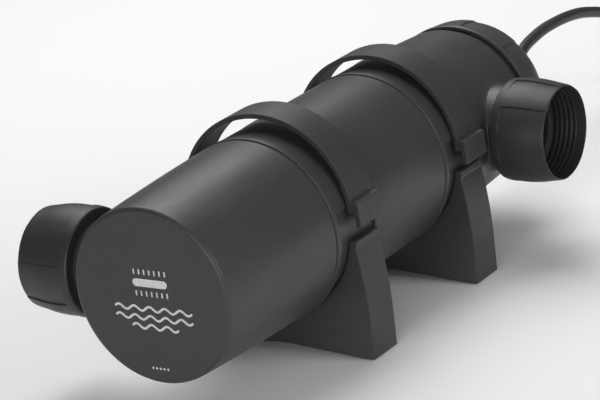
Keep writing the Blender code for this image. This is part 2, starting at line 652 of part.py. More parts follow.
def make_plug():
    """Moulded two-pin plug lying beside the coil, and the short lead to it."""
    along = Vector((math.sin(PLUG_TURN), -math.cos(PLUG_TURN), 0))
    out = COIL_RADII[-1] + 2 * CORD_R + 0.6
    start = Vector((COIL_AT[0] + out * math.cos(PLUG_TURN), COIL_AT[1] + out * math.sin(PLUG_TURN), PLUG_HIGH))
    steps = 3
    lead = [start + along * (LEAD_LONG - 0.3) * i / steps for i in range(steps + 1)]
    tube("plug_lead", [tuple(p) for p in lead], CORD_R, RUBBER)
    body = [(0, 0), (4.6, 0), (6.2, 14), (8.0, 19), (15.5, 22), (17.4, 25), (17.4, 40)]
    body += [(16.6, 42), (13.0, 42), (13.0, 57), (12.0, 58), (0, 58)]
    plug = turned("plug_body", body, "Y", (0, 0, 0), 24, RUBBER, solid=True)
    turn = Matrix.Rotation(math.atan2(-along.x, along.y), 4, "Z")
    base = start + along * LEAD_LONG
    plug.matrix_world = Matrix.Translation(put(*base)) @ turn
    for side, name in ((-1, "left"), (1, "right")):
        pin = [(0, 58.3), (2.4, 58.3), (2.4, 75.5), (1.4, 77.3), (0, 77.3)]
        metal = turned("plug_pin_" + name, pin, "Y", (0, 0, 0), 12, STEEL, solid=True)
        metal.matrix_world = plug.matrix_world @ Matrix.Translation((side * 9.5 * MM, 0, 0))


make_housing()
for port in PORT_Y:
    port_fittings(port)
for which, hold in zip(("front", "rear"), HOLD_Y):
    make_foot(which, hold)
    make_strap(which, hold)
make_head()
make_cord()
make_coil()
make_plug()
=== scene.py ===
"""Looks of the UV clarifier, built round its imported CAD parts.

Sizes are in millimetres from the housing's centreline, as in the design: x to the outlet, y from the
flat end towards the lamp head, z up. put() turns them into metres in the shared frame.
"""

import json
import math

import bmesh  # noqa: E402
import bpy  # noqa: E402
from mathutils import Matrix, Vector  # noqa: E402

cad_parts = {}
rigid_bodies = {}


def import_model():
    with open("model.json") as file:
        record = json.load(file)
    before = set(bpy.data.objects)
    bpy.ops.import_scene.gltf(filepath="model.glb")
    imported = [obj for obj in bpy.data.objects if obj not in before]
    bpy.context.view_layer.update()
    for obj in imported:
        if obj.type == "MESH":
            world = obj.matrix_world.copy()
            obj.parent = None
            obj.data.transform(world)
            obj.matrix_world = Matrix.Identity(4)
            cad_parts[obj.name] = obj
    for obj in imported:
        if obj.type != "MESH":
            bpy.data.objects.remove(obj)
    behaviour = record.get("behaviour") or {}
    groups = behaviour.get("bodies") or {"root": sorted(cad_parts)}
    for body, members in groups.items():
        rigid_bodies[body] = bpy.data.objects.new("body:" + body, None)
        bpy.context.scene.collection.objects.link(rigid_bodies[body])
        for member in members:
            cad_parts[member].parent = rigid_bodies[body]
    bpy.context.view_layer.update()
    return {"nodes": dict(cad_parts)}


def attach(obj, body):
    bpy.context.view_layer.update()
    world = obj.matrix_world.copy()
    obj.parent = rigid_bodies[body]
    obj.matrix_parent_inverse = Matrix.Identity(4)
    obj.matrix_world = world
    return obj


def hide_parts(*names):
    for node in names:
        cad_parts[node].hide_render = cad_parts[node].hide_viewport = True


MM = 0.001
AXIS_HEIGHT, LENGTH, FLAT_Y = 69.0, 355.0, -1.3
MID_X, MID_Y = -1.2, (LENGTH + FLAT_Y) / 2
FLOOR = -AXIS_HEIGHT
TAU = 2 * math.pi

for old in list(bpy.data.objects):
    bpy.data.objects.remove(old, do_unlink=True)
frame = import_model()
nodes = frame["nodes"]


def put(x, y, z):
    return Vector(((x - MID_X) * MM, (y - MID_Y) * MM, (z + AXIS_HEIGHT) * MM))


# ---- camera --------------------------------------------------------------------------------
def make_camera():
    """A long lens, turned a little about its own axis."""
    turn, tip, roll = math.radians(34.496), math.radians(18.653), math.radians(-6.993)
    right = Vector((math.cos(turn), math.sin(turn), 0))
    back = Vector((math.sin(turn) * math.cos(tip), -math.cos(turn) * math.cos(tip), math.sin(tip)))
    up = back.cross(right)
    x_axis = right * math.cos(roll) + up * math.sin(roll)
    y_axis = up * math.cos(roll) - right * math.sin(roll)
    data = bpy.data.cameras.new("camera")
    data.sensor_width = 36.0
    data.lens = 162.02
    data.shift_x = -0.0012
    data.clip_end = 60
    camera = bpy.data.objects.new("camera", data)
    bpy.context.scene.collection.objects.link(camera)
    axes = Matrix((x_axis, y_axis, back)).transposed().to_4x4()
    camera.matrix_world = Matrix.Translation((0.74413, -1.12469, 0.51338)) @ axes
    bpy.context.scene.camera = camera


make_camera()


# ---- mesh helpers --------------------------------------------------------------------------
def finish_mesh(bm, name, sharp=34.0):
    bmesh.ops.recalc_face_normals(bm, faces=bm.faces)
    mesh = bpy.data.meshes.new(name)
    bm.to_mesh(mesh)
    bm.free()
    mesh.shade_smooth()
    mesh.set_sharp_from_angle(angle=math.radians(sharp))
    return mesh


def shown(name, mesh):
    o = bpy.data.objects.new(name, mesh)
    bpy.context.scene.collection.objects.link(o)
    return o


def loft(name, rows, ring=False, closed=True):
    """Skin rows of points of the same count. ring joins the last row to the first."""
    bm = bmesh.new()
    loops = [[bm.verts.new(p) for p in row] for row in rows]
    count = len(loops[0])
    for a, b in list(zip(loops, loops[1:])) + ([(loops[-1], loops[0])] if ring else []):
        for i in range(count if closed else count - 1):
            j = (i + 1) % count
            bm.faces.new((a[i], a[j], b[j], b[i]))
    if not ring and closed:
        bm.faces.new(loops[0][::-1])
        bm.faces.new(loops[-1])
    return shown(name, finish_mesh(bm, name))


def rounded(line, closed=False, steps=3):
    """Round the corners of a 2D line. A point may carry a third number, the radius of its corner."""
    count, out = len(line), []
    for i, point in enumerate(line):
        here = Vector(point[:2])
        reach = point[2] if len(point) > 2 else 0
        if not reach or (not closed and i in (0, count - 1)):
            out.append((here.x, here.y))
            continue
        before, after = Vector(line[i - 1][:2]) - here, Vector(line[(i + 1) % count][:2]) - here
        half = before.angle(after) / 2
        cut = min(reach / math.tan(half), 0.48 * before.length, 0.48 * after.length)
        a, b = here + before.normalized() * cut, here + after.normalized() * cut
        for s in range(steps + 1):
            t = s / steps
            p = a * (1 - t) ** 2 + here * 2 * t * (1 - t) + b * t**2
            out.append((p.x, p.y))
    return out


def turned(name, profile, axis, centre, count, ends=False):
    """Revolve (radius, along) points. ends: the profile starts and stops on the axis."""
    bm = bmesh.new()
    rows = []
    for r, a in profile:
        if r < 1e-6:
            rows.append([bm.verts.new(place_on(axis, 0, a, 0) + centre)])
        else:
            rows.append([bm.verts.new(place_on(axis, r, a, TAU * i / count) + centre) for i in range(count)])
    for a, b in list(zip(rows, rows[1:])) + ([] if ends else [(rows[-1], rows[0])]):
        for i in range(count):
            j = (i + 1) % count
            if len(a) == 1 and len(b) > 1:
                bm.faces.new((a[0], b[j], b[i]))
            elif len(b) == 1 and len(a) > 1:
                bm.faces.new((a[i], a[j], b[0]))
            elif len(a) > 1:
                bm.faces.new((a[i], a[j], b[j], b[i]))
    return shown(name, finish_mesh(bm, name))


def place_on(axis, r, along, t):
    c, s = r * math.cos(t), r * math.sin(t)
    return Vector({"X": (along, c, s), "Y": (c, along, s), "Z": (c, s, along)}[axis]) * MM


def prism(name, outline, y0, y1, bevel=0.0):
    """An outline in x and z, carried from y0 to y1."""
    bm = bmesh.new()
    near = bm.faces.new([bm.verts.new(put(x, y0, z)) for x, z in outline])
    far = bmesh.ops.extrude_face_region(bm, geom=[near])["geom"]
    moved = [v for v in far if isinstance(v, bmesh.types.BMVert)]
    bmesh.ops.translate(bm, vec=Vector((0, (y1 - y0) * MM, 0)), verts=moved)
    o = shown(name, finish_mesh(bm, name))
    if bevel:
        add_bevel(o, bevel)
    return o


def add_bevel(o, width, limit=38, segments=3):
    m = o.modifiers.new("edges", "BEVEL")
    m.width, m.segments = width * MM, segments
    m.limit_method, m.angle_limit = "ANGLE", math.radians(limit)
    m.harden_normals = False


def arc(radius, start, stop, count, cx=0.0, cz=0.0):
    turn = [math.radians(start + (stop - start) * i / (count - 1)) for i in range(count)]
    return [(cx + radius * math.cos(t), cz + radius * math.sin(t)) for t in turn]


def combine(o, tool, how):
    m = o.modifiers.new("cut", "BOOLEAN")
    m.operation, m.solver, m.object = how, "EXACT", tool
    settle(o)
    bpy.data.objects.remove(tool, do_unlink=True)


def settle(o, sharp=34.0):
    """Turn the modifiers into mesh."""
    bpy.context.view_layer.update()
    graph = bpy.context.evaluated_depsgraph_get()
    mesh = bpy.data.meshes.new_from_object(o.evaluated_get(graph))
    o.modifiers.clear()
    o.data = mesh
    mesh.shade_smooth()
    mesh.set_sharp_from_angle(angle=math.radians(sharp))


def even_normals(o):
    m = o.modifiers.new("normals", "WEIGHTED_NORMAL")
    m.keep_sharp = True
    m.weight = 60


def wear(o, body, mat, slot, *cad):
    """Give a new piece its material, its body and the CAD nodes that it stands for."""
    o.data.materials.clear()
    o.data.materials.append(mat)
    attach(o, body)
    if cad:
        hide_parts(*cad)
    return o


# ---- materials -----------------------------------------------------------------------------
class Nodes:
    """Short calls for building a material's nodes."""

    def __init__(self, name):
        self.mat = bpy.data.materials.new(name)
        self.mat.use_nodes = True
        self.tree = self.mat.node_tree
        self.shader = self.tree.nodes["Principled BSDF"]
        self.place = self.tree.nodes.new("ShaderNodeTexCoord").outputs["Object"]

    def add(self, kind, **values):
        node = self.tree.nodes.new(kind)
        for key, value in values.items():
            setattr(node, key, value)
        return node

    def link(self, a, b):
        self.tree.links.new(a, b)

    def noise(self, scale, detail=3.0, rough=0.5, stretch=None):
        node = self.add("ShaderNodeTexNoise")
        node.inputs["Scale"].default_value = scale
        node.inputs["Detail"].default_value = detail
        node.inputs["Roughness"].default_value = rough
        source = self.place
        if stretch:
            shape = self.add("ShaderNodeMapping")
            shape.inputs["Scale"].default_value = stretch
            self.link(self.place, shape.inputs["Vector"])
            source = shape.outputs["Vector"]
        self.link(source, node.inputs["Vector"])
        return node.outputs["Fac"]

    def spread(self, value, low, high, out_low, out_high):
        node = self.add("ShaderNodeMapRange")
        for key, number in zip(("From Min", "From Max", "To Min", "To Max"), (low, high, out_low, out_high)):
            node.inputs[key].default_value = number
        self.link(value, node.inputs["Value"])
        return node.outputs["Result"]

    def math(self, how, a, b):
        node = self.add("ShaderNodeMath", operation=how)
        for socket, value in zip(node.inputs, (a, b)):
            if isinstance(value, (int, float)):
                socket.default_value = value
            else:
                self.link(value, socket)
        return node.outputs[0]

    def mix(self, share, a, b):
        node = self.add("ShaderNodeMix", data_type="RGBA")
        for socket, value in zip((node.inputs[0], node.inputs[6], node.inputs[7]), (share, a, b)):
            if isinstance(value, tuple):
                socket.default_value = (*value, 1.0)
            elif isinstance(value, (int, float)):
                socket.default_value = value
            else:
                self.link(value, socket)
        return node.outputs[2]

    def edges(self, start, stop):
        """1 on worn outer edges, 0 elsewhere."""
        return self.spread(self.add("ShaderNodeNewGeometry").outputs["Pointiness"], start, stop, 0.0, 1.0)

    def bump(self, layers):
        """layers: (height, strength, distance in mm), one on top of the other."""
        last = None
        for height, strength, distance in layers:
            node = self.add("ShaderNodeBump")
            node.inputs["Strength"].default_value = strength
            node.inputs["Distance"].default_value = distance * MM
            self.link(height, node.inputs["Height"])
            if last:
                self.link(last, node.inputs["Normal"])
            last = node.outputs["Normal"]
        self.link(last, self.shader.inputs["Normal"])

    def out(self, colour, rough, **fixed):
        for key, value in (("Base Color", colour), ("Roughness", rough)):
            if isinstance(value, tuple):
                self.shader.inputs[key].default_value = (*value, 1.0)
            elif isinstance(value, (int, float)):
                self.shader.inputs[key].default_value = value
            else:
                self.link(value, self.shader.inputs[key])
        for key, value in fixed.items():
            self.shader.inputs[key.replace("_", " ")].default_value = value
        return self.mat


def scaled(colour, by):
    return tuple(min(1.0, c * by) for c in colour)


def moulded(name, colour, rough, grain=0.5, specular=0.5, cell=0.0, edge=1.5):
    """Black moulded plastic: fine grain, slow drift in shade and gloss, paler worn edges, dust specks."""
    n = Nodes(name)
    fine = n.noise(1500, 4, 0.62)
    mid = n.noise(420, 3, 0.55)
    slow = n.noise(16, 4, 0.55)
    rub = n.noise(90, 5, 0.6, (1.0, 0.25, 1.0))
    tone = n.mix(n.spread(slow, 0.3, 0.7, 0, 1), scaled(colour, 0.88), scaled(colour, 1.14))
    tone = n.mix(n.spread(fine, 0.35, 0.68, 0, 0.5), tone, scaled(colour, 2.1))
    tone = n.mix(n.math("MULTIPLY", n.edges(0.53, 0.62), 0.55), tone, scaled(colour, 1 + edge))
    specks = n.spread(n.noise(620, 1, 0.5), 0.75, 0.8, 0, 0.12)
    tone = n.mix(specks, tone, (0.16, 0.16, 0.155))
    patchy = n.spread(rub, 0.3, 0.7, rough - 0.05, rough + 0.06)
    gloss = n.math("ADD", patchy, n.spread(mid, 0.3, 0.7, -0.02, 0.03))
    layers = [(fine, grain, 0.05), (mid, grain * 0.6, 0.06), (slow, 0.05, 0.4)]
    if cell:
        cells = n.add("ShaderNodeTexVoronoi")
        cells.inputs["Scale"].default_value = cell
        n.link(n.place, cells.inputs["Vector"])
        layers.append((cells.outputs["Distance"], grain * 0.5, 0.06))
    n.bump(layers)
    return n.out(tone, gloss, Specular_IOR_Level=specular)


def rubber(name, colour, rough, bump=0.4):
    n = Nodes(name)
    fine = n.noise(900, 4, 0.6)
    slow = n.noise(30, 3, 0.5)
    tone = n.mix(n.spread(slow, 0.3, 0.7, 0, 1), scaled(colour, 0.8), scaled(colour, 1.3))
    tone = n.mix(n.spread(fine, 0.5, 0.75, 0, 0.3), tone, scaled(colour, 3.0))
    tone = n.mix(n.math("MULTIPLY", n.edges(0.53, 0.62), 0.3), tone, scaled(colour, 3.0))
    n.bump([(fine, bump, 0.05), (n.noise(160, 2, 0.5), 0.25, 0.1)])
    return n.out(tone, n.spread(slow, 0.3, 0.7, rough - 0.06, rough + 0.07))


def metal(name, colour, rough, stretch=(1.0, 0.06, 1.0)):
    n = Nodes(name)
    lines = n.noise(1400, 4, 0.6, stretch)
    stain = n.noise(80, 4, 0.6)
    tone = n.mix(n.spread(stain, 0.35, 0.75, 0, 0.6), colour, scaled(colour, 0.62))
    tone = n.mix(n.edges(0.52, 0.6), tone, scaled(colour, 1.2))
    n.bump([(lines, 0.35, 0.02)])
    return n.out(tone, n.spread(lines, 0.3, 0.7, rough - 0.06, rough + 0.1), Metallic=1.0)


def quartz(name, frost=0.03):
    n = Nodes(name)
    film = n.noise(60, 4, 0.6)
    n.bump([(n.noise(25, 2, 0.5), 0.04, 0.2)])
    tone = n.mix(n.spread(film, 0.3, 0.8, 0, 0.5), (0.93, 0.97, 1.0), (0.86, 0.9, 0.9))
    return n.out(tone, n.spread(film, 0.3, 0.8, frost, frost + 0.08), Transmission_Weight=0.95, IOR=1.46)


def tube_glass(name):
    """Clear lamp tube with a faint grey electrode film towards its base."""
    n = Nodes(name)
    split = n.add("ShaderNodeSeparateXYZ")
    n.link(n.place, split.inputs[0])
    film = n.spread(split.outputs["Y"], 0.095, 0.121, 0.0, 0.85)
    film = n.math("MULTIPLY", film, n.spread(n.noise(120, 4, 0.6), 0.2, 0.7, 0.5, 1.0))
    tone = n.mix(film, (0.94, 0.95, 0.97), (0.30, 0.28, 0.27))
    return n.out(tone, 0.06, Transmission_Weight=0.7, IOR=1.48)


def pale_plastic(name):
    n = Nodes(name)
    slow = n.noise(40, 4, 0.6)
    fine = n.noise(1100, 3, 0.5)
    tone = n.mix(n.spread(slow, 0.3, 0.75, 0, 1), (0.76, 0.755, 0.72), (0.66, 0.64, 0.58))
    tone = n.mix(n.math("MULTIPLY", n.edges(0.53, 0.62), 0.4), tone, (0.85, 0.85, 0.83))
    n.bump([(fine, 0.25, 0.03)])
    return n.out(tone, n.spread(slow, 0.3, 0.7, 0.38, 0.5))


def board_material(name):
    """Green solder mask with paler copper tracks under it."""
    n = Nodes(name)
    lanes = n.add("ShaderNodeTexBrick")
    lanes.inputs["Scale"].default_value = 190
    lanes.inputs["Mortar Size"].default_value = 0.03
    for key, tone in (("Color1", 0.25), ("Color2", 0.75), ("Mortar", 1.0)):
        lanes.inputs[key].default_value = (tone, tone, tone, 1)
    shape = n.add("ShaderNodeMapping")
    shape.inputs["Rotation"].default_value = (math.pi / 2, 0, 0)
    n.link(n.place, shape.inputs["Vector"])
    n.link(shape.outputs["Vector"], lanes.inputs["Vector"])
    cloud = n.noise(300, 2, 0.5)
    lane = n.spread(lanes.outputs["Color"], 0.5, 0.8, 0, 1)
    track = n.math("MULTIPLY", lane, n.spread(cloud, 0.45, 0.55, 0, 1))
    tone = n.mix(track, (0.02, 0.13, 0.05), (0.06, 0.26, 0.10))
    n.bump([(track, 0.4, 0.05)])
    return n.out(tone, n.spread(cloud, 0.3, 0.7, 0.3, 0.45))


HOUSING = moulded("housing_plastic", (0.0310, 0.0302, 0.0290), 0.42, grain=0.5, specular=0.42)
HEAD = moulded("head_plastic", (0.0350, 0.0342, 0.0325), 0.40, grain=0.45, specular=0.45)
BRACKET = moulded("bracket_plastic", (0.0255, 0.0265, 0.0270), 0.48, grain=0.55, cell=900, specular=0.42)
NUT = moulded("nut_plastic", (0.0215, 0.0213, 0.0215), 0.46, grain=0.35, specular=0.42)
RUBBER = rubber("black_rubber", (0.014, 0.014, 0.0135), 0.62)
SHEATH = rubber("cord_sheath", (0.020, 0.020, 0.021), 0.44, bump=0.25)
PLUG = rubber("plug_rubber", (0.018, 0.018, 0.018), 0.5, bump=0.3)
STEEL = metal("pin_steel", (0.62, 0.62, 0.60), 0.28)
SPRING = metal("spring_steel", (0.60, 0.60, 0.59), 0.25, (1, 1, 1))
BRASS = metal("plated_brass", (0.74, 0.67, 0.47), 0.24)
QUARTZ = quartz("quartz_glass")
LAMP_GLASS = tube_glass("lamp_glass")
INNER = pale_plastic("white_plastic")
BOARD = board_material("circuit_board")
CORE = moulded("choke_core", (0.05, 0.05, 0.055), 0.5, grain=0.7)


# ---- cord, coil, tie and plug --------------------------------------------------------------
CORD_R, CORD_LENGTH, BOOT_LONG = 3.4, 3.0, 24.0
COIL_X, COIL_Y = 92.0, 492.0
COIL_RADII = (48.5, 41.5, 34.5)
COIL_GAP, COIL_HIGH, TURN_HIGH = 2.1, 27.8, 7.0
ROUTE = [
    (0.0, LENGTH + 0.4, 0.0),
    (0.0, 362.0, 0.0),
    (-1.5, 370.5, 0.7),
    (-4.0, 380.0, 2.3),
    (-6.4, 389.0, 3.8),
    (-8.2, 398.5, 5.1),
    (-9.3, 409.0, 6.0),
    (-10.2, 422.0, 6.8),
    (-10.8, 436.5, 6.6),
    (-11.2, 450.0, 5.8),
    (-11.4, 464.0, 4.3),
    (-11.5, 477.5, 2.0),
    (-11.5, 490.0, -1.2),
    (-11.5, 503.4, -5.2),
    (-11.0, 516.5, -10.6),
    (-9.0, 530.0, -18.2),
    (-5.0, 543.0, -27.4),
    (1.0, 554.5, -37.6),
    (9.5, 564.0, -47.8),
    (21.0, 570.0, -56.8),
    (35.0, 571.2, -62.6),
    (49.5, 567.8, -65.0),
    (63.5, 561.8, FLOOR + CORD_R + 0.3),
    (77.5, 554.8, FLOOR + CORD_R + 0.3),
    (92.0, 549.8, FLOOR + CORD_R + 0.3),
]
LEAD_TURN = math.radians(-20.0)
LEAD_HIGH, LEAD_LONG = 17.8, 21.0
LEAD_OUT = 48.5 + 2 * CORD_R + 0.6


def ease(t):
    t = min(1.0, max(0.0, t))
    return t * t * (3 - 2 * t)


def coil_points():
    """Ten turns, laid three beside each other in layers, then down beside the coil to the plug."""
    inward = list(COIL_RADII)
    layers = (inward, inward[::-1], inward)
    order = [(57.8, -0.2)] + [(r, layer) for layer, radii in enumerate(layers) for r in radii] + [(41.5, 3)]
    points, per_turn, shift = [], 18, 0.20
    for turn, (a, b) in enumerate(zip(order, order[1:])):
        for i in range(per_turn):
            share = i / per_turn
            s = ease(share / shift)
            r, layer = a[0] + (b[0] - a[0]) * s, a[1] + (b[1] - a[1]) * s
            points.append((math.pi / 2 - TAU * (turn + share), r, COIL_GAP + CORD_R + TURN_HIGH * layer))
    ends = points[-1][0]
    stop = LEAD_TURN - TAU * round((LEAD_TURN - ends) / TAU + 0.5)
    while stop < ends - TAU:
        stop += TAU
    while stop > ends:
        stop -= TAU
    steps = max(6, int((ends - stop) / TAU * per_turn))
    low = COIL_GAP + CORD_R
    for i in range(1, steps + 1):
        t = i / steps
        r = 41.5 + (LEAD_OUT - 41.5) * ease(t)
        high = low + 3 * TURN_HIGH
        z = high + (LEAD_HIGH - high) * ease((t - 0.45) / 0.55)
        points.append((ends + (stop - ends) * t, r, z))
    return [(COIL_X + r * math.cos(t), COIL_Y + r * math.sin(t), FLOOR + z) for t, r, z in points[1:]]


def make_cord():
    along = Vector((math.sin(LEAD_TURN), -math.cos(LEAD_TURN), 0))
    coil = coil_points()
    start = Vector(coil[-1])
    lead = [tuple(start + along * LEAD_LONG * i / 2) for i in (1, 2)]
    points = ROUTE + coil + lead
    curve = bpy.data.curves.new("power_cord", "CURVE")
    curve.dimensions = "3D"
    curve.bevel_depth = CORD_R * MM
    curve.bevel_resolution = 5
    curve.resolution_u = 5
    curve.use_fill_caps = True
    line = curve.splines.new("BEZIER")
    line.bezier_points.add(len(points) - 1)
    for knot, p in zip(line.bezier_points, points):
        knot.co = put(*p)
        knot.handle_left_type = knot.handle_right_type = "AUTO"
    cord = shown("power_cord", curve)
    wear(cord, "lamp_head", SHEATH, "black_rubber", "cord", "cord_coil", "plug_lead")
    return cord


def make_strain_relief():
    """Tapered boot with flexing ribs, following the cord out of the gland."""
    path = smooth_path(ROUTE[:7], 0.5)
    rows, run = [], 0.0
    last = path[0]
    for i, p in enumerate(path):
        run += (p - last).length
        last = p
        if run > BOOT_LONG:
            break
        ahead = (path[min(i + 1, len(path) - 1)] - path[max(i - 1, 0)]).normalized()
        side = ahead.cross(Vector((0, 0, 1))).normalized()
        up = side.cross(ahead)
        radius = 6.0 - 1.7 * run / BOOT_LONG
        beat = (run - 2.6) % 3.1
        if 2.6 < run < BOOT_LONG - 2.2 and beat > 2.1:
            radius -= 0.75
        if run > BOOT_LONG - 0.7:
            radius -= 0.35
        around = [TAU * k / 40 for k in range(40)]
        rows.append([put(*(p + (side * math.cos(t) + up * math.sin(t)) * radius)) for t in around])
    boot = loft("strain_relief_boot", rows)
    return wear(boot, "lamp_head", RUBBER, "black_rubber", "strain_relief")


def smooth_path(points, spacing):
    """Even points on a Catmull-Rom curve through the given ones."""
    ps = [Vector(p) for p in points]
    ps = [2 * ps[0] - ps[1]] + ps + [2 * ps[-1] - ps[-2]]
    out = []
    for a, b, c, d in zip(ps, ps[1:], ps[2:], ps[3:]):
        count = max(2, round((c - b).length / spacing))
        for i in range(count):
            t = i / count
            out.append(0.5 * (2 * b + (c - a) * t + (2 * a - 5 * b + 4 * c - d) * t**2
                              + (3 * b - a - 3 * c + d) * t**3))
    return out


cord = make_cord()
boot = make_strain_relief()


# ---- housing -------------------------------------------------------------------------------
R_FACE, R_RIM, R_WAIST, R_TAIL, R_NECK, R_BORE = 45.0, 48.3, 48.4, 45.5, 48.0, 43.7
R_SEAT, SEAT_TOP, SWELL, R_ROOT, R_CREST = 46.3, 14.0, 0.45, 41.1, 42.0
LIPS, NECK_LONG, SHOULDER = (90.4, 199.5), 33.0, 293.4
PORTS = {"inlet": (-1, 31.9), "outlet": (1, 267.5)}
R_BOSS, FILLET, FILLET_GROWS, BOSS_END = 23.5, 2.2, 1.1, 50.8
NUT_START, GROOVE = {"inlet": 54.4, "outlet": 52.0}, (3.6, 5.2)
R_SPIGOT, SPIGOT_END, R_PORT, R_GROOVE = 21.6, 61.5, 17.0, 20.2


def skin_radius(y):
    if y < LIPS[0]:
        t = (y - FLAT_Y - 2.4) / (LIPS[0] - FLAT_Y - 3.6)
        return R_FACE + (R_RIM - R_FACE) * t + SWELL * 4 * t * (1 - t)
    if y < LIPS[1]:
        return R_RIM
    start = LIPS[1] + 4.5 + NECK_LONG
    return R_RIM + (R_TAIL - R_RIM) * (y - start) / (SHOULDER - 0.8 - start)


def housing_outline():
    line = [(0, FLAT_Y), (R_FACE - 0.15, FLAT_Y, 2.6)]
    line += [(skin_radius(y), y) for y in (8, 15, 22, 29, 36, 43, 50, 57, 64, 71, 78)]
    for lip, before in ((LIPS[0], R_RIM), (LIPS[1], R_WAIST)):
        line += [(before, lip - 1.2, 0.3), (before - 0.8, lip - 1.1, 0.1), (before - 0.8, lip - 0.2, 0.1)]
        line += [(before + 0.3, lip + 0.2, 0.35), (before + 0.3, lip + 2.8, 0.4), (R_NECK, lip + 3.5, 0.4)]
        line += [(R_NECK, lip + 3.5 + NECK_LONG, 0.3), (R_RIM, lip + 4.5 + NECK_LONG, 0.5)]
    line += [(R_TAIL, SHOULDER, 0.9), (R_ROOT, SHOULDER, 0.3)]
    for y in (303.2, 309.2):
        line += [(R_ROOT, y - 1.4, 0.3), (R_CREST, y, 0.3), (R_ROOT, y + 1.4, 0.3)]
    return rounded(line + [(R_ROOT, 314.0, 0.5), (0, 314.0)], steps=4)


def port_solid(name):
    side, y0 = PORTS[name]
    count = 112

    def circle(r, x):
        turns = [TAU * i / count for i in range(count)]
        return [put(side * x, y0 + r * math.cos(t), r * math.sin(t)) for t in turns]

    def fillet(bend, sunk=0.0, x=None):
        row = []
        for i in range(count):
            t = TAU * i / count
            wide = FILLET * (1 + FILLET_GROWS * (1 - math.cos(t)) / 2)
            r = R_BOSS + wide * (1 - math.sin(bend))
            y, z = y0 + r * math.cos(t), r * math.sin(t)
            on_skin = math.sqrt(skin_radius(y) ** 2 - z**2) + FILLET * (1 - math.cos(bend)) - sunk
            row.append(put(side * (x or on_skin), y, z))
        return row

    near, far = (NUT_START[name] + g for g in GROOVE)
    rows = [fillet(0, x=30.0), fillet(0, 0.35)]
    rows += [fillet(math.pi / 2 * step / 9, 0.02) for step in range(1, 10)]
    for r, x in (
        (R_BOSS, BOSS_END - 0.6), (R_BOSS - 0.15, BOSS_END - 0.18), (R_BOSS - 0.6, BOSS_END),
        (R_SPIGOT, BOSS_END), (R_SPIGOT, near), (R_GROOVE, near), (R_GROOVE, far), (R_SPIGOT, far),
        (R_SPIGOT, SPIGOT_END - 0.6), (R_SPIGOT - 0.2, SPIGOT_END - 0.2), (R_SPIGOT - 0.6, SPIGOT_END),
    ):
        rows.append(circle(r, x))
    return loft(name + "_port", rows)


def make_housing():
    centre = put(0, 0, 0)
    body = turned("housing_shell", housing_outline(), "Y", centre, 224, ends=True)
    for lip in LIPS:
        seat = arc(60.0, SEAT_TOP, -180 - SEAT_TOP, 60) + arc(R_SEAT, -180 - SEAT_TOP, SEAT_TOP, 150)
        combine(body, prism("seat", seat, lip + 3.6, lip + 3.4 + NECK_LONG), "DIFFERENCE")
    for name in PORTS:
        combine(body, port_solid(name), "UNION")
    chamber = [(0, 1.7), (41.6, 1.7, 2.0), (R_BORE, 88.0), (R_BORE, 240.0), (41.6, 288.0), (38.6, 292.0, 0.5)]
    chamber = rounded(chamber + [(38.6, 318.0), (0, 318.0)])
    combine(body, turned("chamber", chamber, "Y", centre, 144, ends=True), "DIFFERENCE")
    for name, (side, y0) in PORTS.items():
        bore = [(0, 34.0), (R_PORT, 34.0), (R_PORT, 60.9), (R_PORT + 0.8, 62.0), (0, 62.0)]
        line = [(r, side * a) for r, a in bore]
        combine(body, turned("bore", line, "X", put(0, y0, 0), 96, ends=True), "DIFFERENCE")
    even_normals(body)
    return wear(body, "unit", HOUSING, "housing_plastic", "housing")


# ---- nuts and ring -------------------------------------------------------------------------
def grip_turns(grips, sense, fine=22):
    """Angles round a gripped ring, with the depth share of its saw-tooth recess at each."""
    out = []
    for g in range(grips):
        for i in range(fine + 1):
            share = i / fine * 0.985
            deep = max(0.0, 1 - share / 0.72) ** 1.15
            out.append((sense * TAU * (g + share) / grips, deep))
    return out


GRIPS, GRIP_DEEP, FIRST_GRIP = 8, 0.78, {"inlet": 31.0, "outlet": 43.4}
RING_GRIPS, RING_GRIP_DEEP, RING_FIRST = 10, 0.82, 84.5


def union_nut(name):
    side, y0 = PORTS[name]
    rows = [(0.0, 26.6, 0), (0.12, 27.0, 0), (0.5, 27.4, 0), (1.2, 27.62, 0), (3.0, 27.9, 0), (4.9, 28.08, 0)]
    rows += [(5.15, 28.1, 0.12), (5.35, 28.1, 0.85), (5.6, 28.12, 1), (9, 28.24, 1), (12, 28.3, 1)]
    rows += [(15.5, 28.15, 1), (19, 27.8, 1), (22, 27.38, 1), (25, 26.8, 0.95), (28.3, 26.3, 0.8)]
    rows += [(30.6, 25.86, 0.6), (31.2, 25.66, 0.5), (31.44, 25.4, 0.3), (31.5, 25.15, 0)]
    rows += [(31.42, 24.95, 0), (31.1, 24.8, 0)]
    for i in range(5):
        top = 25.2 - 2.9 * i
        rows += [(top + 0.95, 24.9, 0), (top + 0.4, 24.6, 0), (top - 0.2, 24.5, 0), (top - 0.8, 24.62, 0),
                 (top - 1.35, 24.9, 0)]
    rows += [(8.6, 24.95, 0), (3.4, 25.0, 0), (3.4, 22.1, 0), (0, 22.1, 0), (0, 24.0, 0)]
    first = math.radians(FIRST_GRIP[name])
    lofted = []
    for along, r, share in rows:
        row = []
        for turn, deep in grip_turns(GRIPS, 1):
            radius = r - GRIP_DEEP * deep * share
            a = turn - first
            y, z = y0 - side * radius * math.cos(a), -radius * math.sin(a)
            row.append(put(side * (NUT_START[name] + along), y, z))
        lofted.append(row)
    nut = loft(name + "_nut_skin", lofted, ring=True)
    even_normals(nut)
    return wear(nut, name + "_nut", NUT, "nut_plastic", name + "_union_nut")


